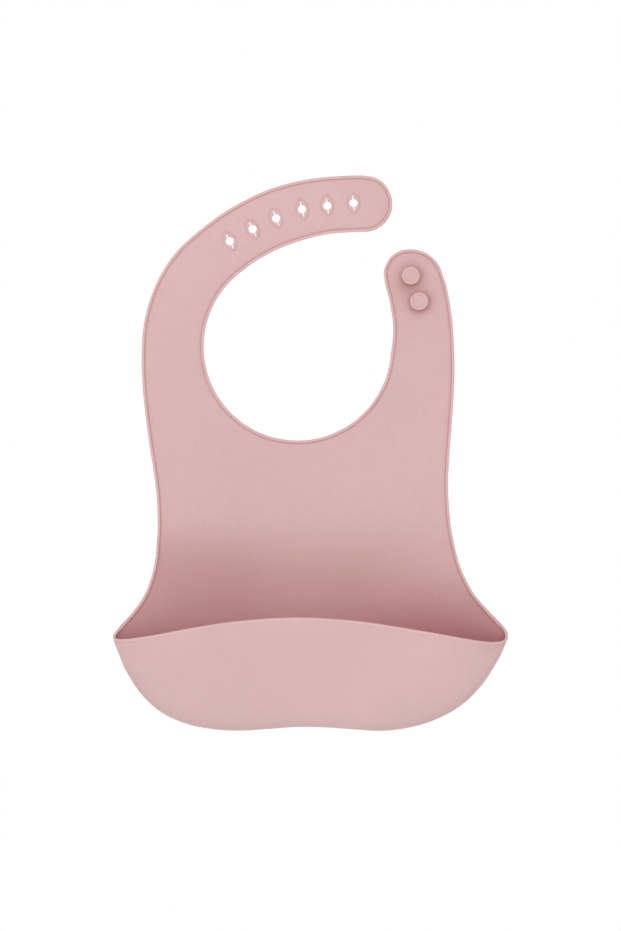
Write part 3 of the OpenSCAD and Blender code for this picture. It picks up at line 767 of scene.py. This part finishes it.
def shell(piece, outer, inner, painted_shade_amount, reach):
    """Closed shell between two grids of points; the painted shade amount and the reach that holds
    back the painted occlusion shade go on its inner face.
    """
    rows, columns = outer.shape[:2]
    n = rows * columns
    verts = np.vstack([outer.reshape(-1, 3), inner.reshape(-1, 3)])
    faces, sharp = [], []
    for i in range(rows - 1):
        for j in range(columns - 1):
            a, b = i * columns + j, (i + 1) * columns + j
            faces += [(a, a + 1, b + 1, b), (n + b, n + b + 1, n + a + 1, n + a)]
    for j in range(columns - 1):
        k = (rows - 1) * columns + j
        faces += [(j + 1, j, n + j, n + j + 1), (k, k + 1, n + k + 1, n + k)]
        sharp += [(a, a + 1) for a in (j, n + j, k, n + k)]
    for i in range(rows - 1):
        a, b = i * columns, (i + 1) * columns
        faces.append((a, b, n + b, n + a))
        a, b = a + columns - 1, b + columns - 1
        faces.append((b, a, n + a, n + b))
    # weld points that fall together at the corners
    first_at = {}
    weld = [first_at.setdefault(tuple(p), k) for k, p in enumerate(np.round(verts, 4))]
    clean = []
    for face in faces:
        welded = []
        for k in face:
            if not welded or welded[-1] != weld[k]:
                welded.append(weld[k])
        if len(welded) > 1 and welded[0] == welded[-1]:
            welded.pop()
        if len(welded) >= 3 and len(set(welded)) == len(welded):
            clean.append(welded)
    used = sorted({k for face in clean for k in face})
    renumber = {k: i for i, k in enumerate(used)}
    sharp = [(weld[a], weld[b]) for a, b in sharp if weld[a] != weld[b]]
    sharp = [(renumber[a], renumber[b]) for a, b in sharp if a in renumber and b in renumber]
    piece.add(verts[used], [[renumber[k] for k in face] for face in clean], sharp,
              hollow=np.concatenate([np.zeros(n), painted_shade_amount.reshape(-1)])[used],
              inner=np.concatenate([np.zeros(n), reach.reshape(-1)])[used])


# ------------------------------------------------------------------ pocket bead
def flare_cord(side):
    """Centres and section axes of the bead down a flared edge, from the cut to the corner."""
    left_cut, right_cut = CUT["pocket"]
    index = np.arange(left_cut, -1, -1) if side < 0 else np.arange(right_cut, len(EDGE))
    inward = INWARD[index]
    x, z = (EDGE[index] + BEAD_HALF_WIDTH * inward).T
    front = back_normal(x, z)
    centre = np.stack([x, back_y(x, z), z], 1) + front * BEAD_HALF_DEPTH
    out = unit(np.cross(np.gradient(centre, axis=0), front))
    wanted = np.stack([-inward[:, 0], np.zeros(len(inward)), -inward[:, 1]], 1)
    return centre, out * np.sign((out * wanted).sum(1))[:, None], front


def lip_cord(side):
    """Centres and section axes of the bead along the lip, from the corner to the middle."""
    distance = np.concatenate([[0.6, 1.0, 1.5, 2.1, 2.8, 3.6],
                               np.linspace(4.5, POCKET_HALF_WIDTH, 92)])
    across = side * (1 - distance / POCKET_HALF_WIDTH)
    _, height, _, front_round = heights(across)
    wall = height - front_round
    rise = 1 - np.minimum(BEAD_HALF_WIDTH, 0.45 * wall) / np.maximum(wall, 1e-6)
    surface = wall_point(across, rise)
    along = wall_point(across + 1e-3, rise) - wall_point(across - 1e-3, rise)
    up = surface - wall_point(across, rise - 0.05)
    front = unit(np.cross(along, up))
    front = np.where(front[:, 1:2] > 0, -front, front)
    centre = surface - front * (SHEET / 2)
    out = unit(np.cross(np.gradient(centre, axis=0), front))
    return centre, np.where(out[:, 2:3] < 0, -out, out), front


def corner_bead(side):
    """The bead at one corner, split within its turn: cord arguments for the flared edge
    and for the lip."""
    turn = np.array(TURNS[side])
    clear = 1.6  # gap left either side of the turn, bridged by the spline
    centre, out, front = flare_cord(side)
    keep = centre[:, 2] > turn[0][2] + clear
    flare_centre, flare_out, flare_front = centre[keep], out[keep], front[keep]
    centre, out, front = lip_cord(side)
    keep = np.abs(centre[:, 0] - POCKET_X) < abs(turn[-1][0] - POCKET_X) - clear
    lip_centre, lip_out, lip_front = centre[keep], out[keep], front[keep]

    guide = np.vstack([flare_centre[-3], flare_centre[-1], turn, lip_centre[0], lip_centre[2]])
    points = spline(guide, 0.3)
    start = int(np.argmin(np.linalg.norm(points - guide[1], axis=1)))
    end = int(np.argmin(np.linalg.norm(points - guide[-2], axis=1)))
    for _ in range(6):
        points[start + 1: end] = (0.5 * points[start + 1: end]
                                  + 0.25 * (points[start: end - 1] + points[start + 2: end + 1]))
    tangents = unit(np.gradient(points, axis=0))[start + 1: end]
    points = points[start + 1: end]
    steps = np.linalg.norm(np.diff(points, axis=0), axis=1)
    travelled = np.concatenate([[0], np.cumsum(steps)])
    share = smooth(travelled / travelled[-1])[:, None]
    normal = unit(flare_front[-1] * (1 - share) + lip_front[0] * share)
    normal = unit(normal - (normal * tangents).sum(1, keepdims=True) * tangents)
    out = unit(np.cross(tangents, normal))
    half = int(np.argmin(np.linalg.norm(points - turn[2], axis=1)))
    flare_turn = out * np.sign(out[0] @ flare_out[-1])
    lip_turn = out * np.sign(out[-1] @ lip_out[0])
    # the bead gets shallower towards the turn, and again on the way to the lip
    lip_depth = 0.8
    depth = 1 - 0.25 * smooth(1 - (flare_centre[:, 2] - turn[0][2]) / 9)
    blend = np.linspace(depth[-1], lip_depth, len(points) - half + 1)
    flare = (np.vstack([flare_centre, points[:half]]),
             np.vstack([flare_out, flare_turn[:half]]),
             np.vstack([flare_front, normal[:half]]),
             BEAD_HALF_DEPTH * np.concatenate([depth, np.full(half, depth[-1])]))
    lip = (np.vstack([points[half - 1:], lip_centre]),
           np.vstack([lip_turn[half - 1:], lip_out]),
           np.vstack([normal[half - 1:], lip_front]),
           BEAD_HALF_DEPTH * np.concatenate([blend, np.full(len(lip_centre), lip_depth)]))
    return flare, lip


def build_pocket():
    """The pocket's back panel, and its floor and front wall, parted at the bottom line."""
    outer, split, across = pocket_outside()
    inner = pocket_inside(outer, across)
    x, z = outer[..., 0], outer[..., 2]
    below = smooth((lip_z(x) - 3 - z) / 14)  # out of sight behind the wall
    below[split + 1:] = 1.0
    # painted shade behind the pocket wall, eased off on rows out of sight
    painted_shade_amount = pocket_painted_shade(x, z) * (1 - 0.85 * below)
    grids = (outer, inner, painted_shade_amount, 0.8 * below)
    left_flare, left_lip = corner_bead(-1)
    right_flare, right_lip = corner_bead(1)

    back = Piece()
    shell(back, *[grid[:split + 1] for grid in grids])
    cord(back, *left_flare)
    cord(back, *right_flare)
    back.make("pocket_back_sheet")

    catcher = Piece()
    shell(catcher, *[grid[split:] for grid in grids])
    cord(catcher, *[np.concatenate([left[:-1], right[::-1]])
                    for left, right in zip(left_lip, right_lip)])
    catcher.make("pocket_catcher")


build_pocket()

# ------------------------------------------------------------------ studs
# Mushroom with a shallow dish in its head: radius before scaling, y from the sheet's front
STUD_SCALE = 1.03
STUD_BACK_Y, STUD_FRONT_Y = 0.35, -4.92  # centres of its two ends
STUD_PROFILE = [
    (4.2, 0.35), (3.55, 0.0), (3.1, -0.12), (2.78, -0.38), (2.6, -0.75), (2.52, -1.2),
    (2.5, -2.0), (2.55, -2.6), (2.75, -2.95), (3.2, -3.12), (4.2, -3.28), (4.62, -3.42),
    (4.92, -3.68), (5.07, -4.02), (5.09, -4.35), (5.0, -4.72), (4.82, -5.04), (4.55, -5.27),
    (4.22, -5.38), (3.95, -5.33), (3.76, -5.16), (3.62, -4.98), (3.45, -4.9), (3.1, -4.87),
    (1.6, -4.9)]


def stud(name, centre):
    sides = 64
    profile = [(radius * STUD_SCALE, y) for radius, y in STUD_PROFILE]
    verts, faces = [], []
    for radius, y in profile:
        for k in range(sides):
            angle = 2 * math.pi * k / sides
            verts.append((centre[0] + radius * math.cos(angle), -SHEET + y,
                          centre[1] + radius * math.sin(angle)))
    for i in range(len(profile) - 1):
        for k in range(sides):
            a, b = i * sides + k, i * sides + (k + 1) % sides
            faces.append((a, b, b + sides, a + sides))
    back, front, end = len(verts), len(verts) + 1, (len(profile) - 1) * sides
    verts += [(centre[0], -SHEET + y, centre[1]) for y in (STUD_BACK_Y, STUD_FRONT_Y)]
    for k in range(sides):
        following = (k + 1) % sides
        faces += [(back, following, k), (front, end + k, end + following)]
    # the rim of the head is rubbed, and paler partly as a painted highlight
    rub_and_highlight = [1.1 * smooth((radius - 3.5) / 0.5) * smooth((-y - 3.4) / 0.6)
           for radius, y in profile]
    piece = Piece()
    piece.add(verts, faces, [(k, (k + 1) % sides) for k in range(sides)],
              wear=np.concatenate([np.repeat(rub_and_highlight, sides), [0.0, 0.0]]))
    piece.make(name)


stud("stud_upper", STUD_UPPER)
stud("stud_lower", STUD_LOWER)


# ------------------------------------------------------------------ materials
class Shader:
    """Short forms for adding nodes. An input may be a value or another node's output."""

    def __init__(self, tree):
        self.tree = tree

    def fill(self, node, inputs):
        for key, value in inputs.items():
            if isinstance(value, bpy.types.NodeSocket):
                self.tree.links.new(value, node.inputs[key])
            else:
                node.inputs[key].default_value = value

    def add(self, kind, inputs={}, **settings):
        node = self.tree.nodes.new("ShaderNode" + kind)
        for key, value in settings.items():
            setattr(node, key, value)
        self.fill(node, inputs)
        return node

    def map_range(self, value, from_range=(0.0, 1.0), to_range=(0.0, 1.0)):
        return self.add("MapRange", {
            "Value": value, "From Min": from_range[0], "From Max": from_range[1],
            "To Min": to_range[0], "To Max": to_range[1]}).outputs["Result"]

    def mix(self, factor, first, second, blend_type="MIX"):
        return self.add("Mix", {"Factor": factor, "A": first, "B": second},
                        data_type="RGBA", blend_type=blend_type).outputs["Result"]

    def math(self, operation, *values):
        return self.add("Math", dict(enumerate(values)), operation=operation).outputs["Value"]

    def ramp(self, factor, stops):
        """stops: position and colour of the two ends."""
        node = self.add("ValToRGB", {"Fac": factor})
        for element, (position, colour) in zip(node.color_ramp.elements, stops):
            element.position, element.color = position, (*colour, 1)
        return node.outputs["Color"]

    def attribute(self, name):
        return self.add("Attribute", attribute_name=name).outputs["Fac"]

    def occlusion(self, distance):
        return self.add("AmbientOcclusion", {"Distance": distance}, samples=8).outputs["AO"]


# Multipliers that darken and deepen the colour as painted shade
PAINTED_BOUNCE_TINT = (0.86, 0.50, 0.53, 1)
PAINTED_SHADE_TINT = (0.785, 0.615, 0.63, 1)
PAINTED_CREASE_TINT = (0.74, 0.56, 0.57, 1)


def silicone(name, base, seed):
    """Matte silicone; seed shifts its textures."""
    material = bpy.data.materials.new(name)
    material.use_nodes = True
    material.node_tree.nodes.clear()
    shader = Shader(material.node_tree)
    output = shader.add("OutputMaterial")
    bsdf = shader.add("BsdfPrincipled", {
        "IOR": 1.41, "Specular IOR Level": 0.32, "Sheen Weight": 0.12,
        "Sheen Roughness": 0.5, "Sheen Tint": (1.0, 0.9, 0.89, 1)})
    shader.fill(output, {"Surface": bsdf.outputs["BSDF"]})
    space = shader.add("Mapping", {
        "Vector": shader.add("TexCoord").outputs["Object"],
        "Location": (seed * 0.37, seed * 0.11, seed * 0.23)}).outputs["Vector"]

    def noise(scale, detail, roughness=0.5):
        return shader.add("TexNoise", {"Scale": scale, "Detail": detail,
                                       "Roughness": roughness, "Vector": space}).outputs["Fac"]

    broad = noise(scale=14, detail=3)
    grain = noise(scale=420, detail=3)
    fine = noise(scale=2600, detail=2, roughness=0.6)
    # slow colour drift of the pigment, then fine grain
    dark, light = [c * 0.965 for c in base], [min(1, c * 1.03) for c in base]
    drift = shader.ramp(broad, stops=((0.3, dark), (0.7, light)))
    speckle = shader.map_range(grain, from_range=(0.25, 0.75), to_range=(0.975, 1.02))
    colour = shader.mix(1.0, drift, speckle, "MULTIPLY")
    # handled edges go a little smoother in patches and paler, partly real wear and partly a
    # painted highlight on the bead fronts and stud rims
    patches = shader.map_range(noise(scale=90, detail=3), to_range=(0.7, 1.35))
    wear = shader.math("MULTIPLY", shader.attribute("wear"), patches)
    wear = shader.map_range(wear, from_range=(0.0, 1.35))
    worn_highlight_colour = (*[min(1, c * 1.16 + 0.03) for c in base], 1)
    colour = shader.mix(shader.math("MULTIPLY", wear, 0.5), colour, worn_highlight_colour)
    # painted shade: where occlusion finds a wide hollow, the colour is darkened and deepened,
    # standing in for light bounced there; inner holds it back far down in the pocket
    openness = shader.math("MAXIMUM", shader.occlusion(distance=0.075),
                           shader.attribute("inner"))
    bounced = shader.mix(1.0, colour, PAINTED_BOUNCE_TINT, "MULTIPLY")
    colour = shader.mix(openness, bounced, colour)
    # painted shade from the painted attribute: darker colour down in the pocket and beside the
    # studs
    colour = shader.mix(shader.attribute("hollow"), colour, PAINTED_SHADE_TINT, "MULTIPLY")
    # painted shade: the colour is darkened in the narrow creases by occlusion
    crease_shade = shader.map_range(shader.occlusion(distance=0.009),
                              from_range=(0.25, 0.95), to_range=(0.4, 0.0))
    colour = shader.mix(crease_shade, colour, PAINTED_CREASE_TINT, "MULTIPLY")
    # powdery bloom with smoother, rubbed patches
    bloom = shader.map_range(noise(scale=55, detail=4),
                             from_range=(0.3, 0.7), to_range=(0.5, 0.62))
    worn_change = -0.08
    roughness = shader.math("MULTIPLY_ADD", wear, worn_change, bloom)
    # moulded matte grain
    bump = shader.add("Bump", {"Strength": 0.12, "Distance": 0.00008,
                               "Height": shader.math("ADD", fine, grain)})
    shader.fill(bsdf, {"Base Color": colour, "Roughness": roughness,
                       "Normal": bump.outputs["Normal"]})
    return material


SHEET_MATERIAL = silicone("silicone_sheet", base=(0.717, 0.482, 0.47), seed=1)
STUD_MATERIAL = silicone("silicone_button", base=(0.70, 0.473, 0.462), seed=5)
for name, ob in pieces.items():
    ob.data.materials.append(STUD_MATERIAL if name.startswith("stud") else SHEET_MATERIAL)


# ------------------------------------------------------------------ bodies
def metres(*values):
    return tuple(value * MM for value in values)


def along(x, z, angle, distance):
    """Point so far from x, z in a direction, halfway through the sheet."""
    angle = math.radians(angle)
    return metres(x + distance * math.cos(angle), -SHEET / 2, z + distance * math.sin(angle))


def blend_strap(name, first, second, x, z, angle, before, after):
    """Bakes a strap piece's transform into its mesh; the two bodies and the joint at x, z are not
    used.
    """
    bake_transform(pieces[name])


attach(pieces["chest_sheet"], "chest")
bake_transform(pieces["waist_sheet_upper"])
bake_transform(pieces["waist_sheet_lower"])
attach(pieces["pocket_back_sheet"], "lower_panel")
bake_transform(pieces["pocket_catcher"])
# piece, the two bodies, then x, z, angle in degrees, start and end along it
for row in (
        ("long_strap_lower", "chest", "long_root", -71.4, 3, 90, -6.6, 6.4),
        ("long_strap_middle", "long_root", "long_bend", -69.2, 17.9, 84, -6.4, 8.2),
        ("long_strap_curve", "long_bend", "long_slots_inner",
         *LONG_BEND, LONG_BEND_ANGLE, -9.6, 9.6),
        ("long_strap_holes", "long_slots_inner", "long_slots_outer", -4.7, 76.3, 19.2, -16, 16),
        ("short_strap_lower", "chest", "short_root", 72.2, 3, 90, -5.4, 5.4),
        ("short_strap_end", "short_root", "short_tab", 71.7, 16, 96, -5.3, 5.3)):
    blend_strap(*row)
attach(pieces["stud_upper"], "short_tab")
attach(pieces["stud_lower"], "short_tab")

REPLACED = {
    "chest_sheet": ["chest_panel"],
    "waist_sheet_upper": ["belly_panel"],
    "pocket_back_sheet": ["pocket_back"],
    "pocket_catcher": ["pocket_floor", "pocket_front", "pocket_left_end", "pocket_right_end"],
    "long_strap_lower": ["long_strap_root"],
    "long_strap_middle": ["long_strap_bend"],
    "long_strap_holes": ["long_strap_slots_inner", "long_strap_slots_outer"],
    "short_strap_lower": ["short_strap_root"],
    "short_strap_end": ["short_strap_tab"],
    "stud_upper": ["upper_stud"],
    "stud_lower": ["lower_stud"],
}
for name, parts in REPLACED.items():
    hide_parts(*parts)


# ------------------------------------------------------------------ stage, metres
def paper_white():
    """White paper that glows more the more upright it stands."""
    material = bpy.data.materials.new("paper_white")
    material.use_nodes = True
    nodes = material.node_tree.nodes
    shader = Shader(material.node_tree)
    mottle = shader.add("TexNoise", {"Scale": 60}).outputs["Fac"]
    colour = shader.ramp(mottle, stops=((0.0, (0.93,) * 3), (1.0, (0.95,) * 3)))
    geometry = shader.add("NewGeometry")
    facing = shader.add("SeparateXYZ", {"Vector": geometry.outputs["Normal"]}).outputs["Z"]
    glow = shader.map_range(facing, from_range=(0.55, 1.0), to_range=(0.95, 0.03))
    paper = nodes["Principled BSDF"]
    shader.fill(paper, {"Roughness": 0.9, "Specular IOR Level": 0.1, "Base Color": colour,
                        "Emission Color": (1, 1, 1, 1), "Emission Strength": glow})
    # the camera sees the wall as clean white and the floor as pale, so edges stay smooth
    camera_ray = shader.add("LightPath").outputs["Is Camera Ray"]
    upright = shader.map_range(facing, from_range=(0.5, 0.95), to_range=(1.0, 0.78))
    white = shader.add("Emission", {"Color": (1, 1, 1, 1)})
    seen = shader.add("MixShader", {0: shader.math("MULTIPLY", upright, camera_ray),
                                    1: paper.outputs["BSDF"], 2: white.outputs["Emission"]})
    # looked at from below or behind, it lets the view through
    behind = shader.math("MULTIPLY", geometry.outputs["Backfacing"], camera_ray)
    clear = shader.add("BsdfTransparent")
    through = shader.add("MixShader", {0: behind, 1: seen.outputs["Shader"],
                                       2: clear.outputs["BSDF"]})
    shader.fill(nodes["Material Output"], {"Surface": through.outputs["Shader"]})
    return material


def backdrop():
    """Seamless white sweep: floor, cove and back wall."""
    floor_z, wall_y, top_z, cove = -1.0, 2.6, 2.6, 0.5
    front_y, near_y, half_width, columns = -7, -1.5, 8, 7
    profile = [(front_y, floor_z), (near_y, floor_z), (wall_y - cove, floor_z)]
    profile += [(wall_y - cove + cove * math.sin(a), floor_z + cove - cove * math.cos(a))
                for a in np.linspace(0, math.pi / 2, 14)[1:]]
    profile.append((wall_y, top_z))
    verts = [(x, y, z) for y, z in profile
             for x in np.linspace(-half_width, half_width, columns)]
    faces = []
    for i in range(len(profile) - 1):
        for j in range(columns - 1):
            a = i * columns + j
            faces.append((a, a + 1, a + columns + 1, a + columns))
    mesh = bpy.data.meshes.new("backdrop")
    mesh.from_pydata(verts, [], faces)
    mesh.update()
    mesh.shade_smooth()
    ob = bpy.data.objects.new("backdrop", mesh)
    bpy.context.scene.collection.objects.link(ob)
    mesh.materials.append(paper_white())


def studio_world():
    """White surroundings: full to the camera, dimmer as light."""
    world = bpy.data.worlds.new("studio")
    bpy.context.scene.world = world
    world.use_nodes = True
    shader = Shader(world.node_tree)
    camera_ray = shader.add("LightPath").outputs["Is Camera Ray"]
    level = shader.map_range(camera_ray, to_range=(0.42, 1.0))
    shader.fill(world.node_tree.nodes["Background"], {"Color": (1, 1, 1, 1), "Strength": level})


def area_light(name, location, target, size, watts):
    light = bpy.data.lights.new(name, "AREA")
    light.shape, light.size, light.energy = "DISK", size, watts
    ob = bpy.data.objects.new(name, light)
    ob.location = location
    aim = Vector(target) - Vector(location)
    ob.rotation_euler = aim.to_track_quat("-Z", "Y").to_euler()
    bpy.context.scene.collection.objects.link(ob)


def front_camera():
    """Looks straight at the front, along +Y."""
    lens = bpy.data.cameras.new("camera")
    lens.sensor_width, lens.lens = 36.0, 134.73
    lens.clip_start, lens.clip_end = 0.01, 50
    camera = bpy.data.objects.new("camera", lens)
    camera.location = (0.00752, -2.0, -0.06808)
    camera.rotation_euler = (math.pi / 2, 0, 0)
    bpy.context.scene.collection.objects.link(camera)
    bpy.context.scene.camera = camera


backdrop()
studio_world()
area_light("key", location=(0.3, -2.1, 1.1), target=(0, 0, -0.04), size=2.4, watts=20.05)
area_light("fill", location=(-1.1, -1.6, 0.1), target=(-0.05, 0, -0.03), size=1.4, watts=8.5)
area_light("side", location=(1.4, -1.2, -0.1), target=(0.02, 0, -0.05), size=1.2, watts=1.4)
front_camera()
bpy.context.scene.view_settings.view_transform = "Standard"
bpy.context.scene.view_settings.look = "None"
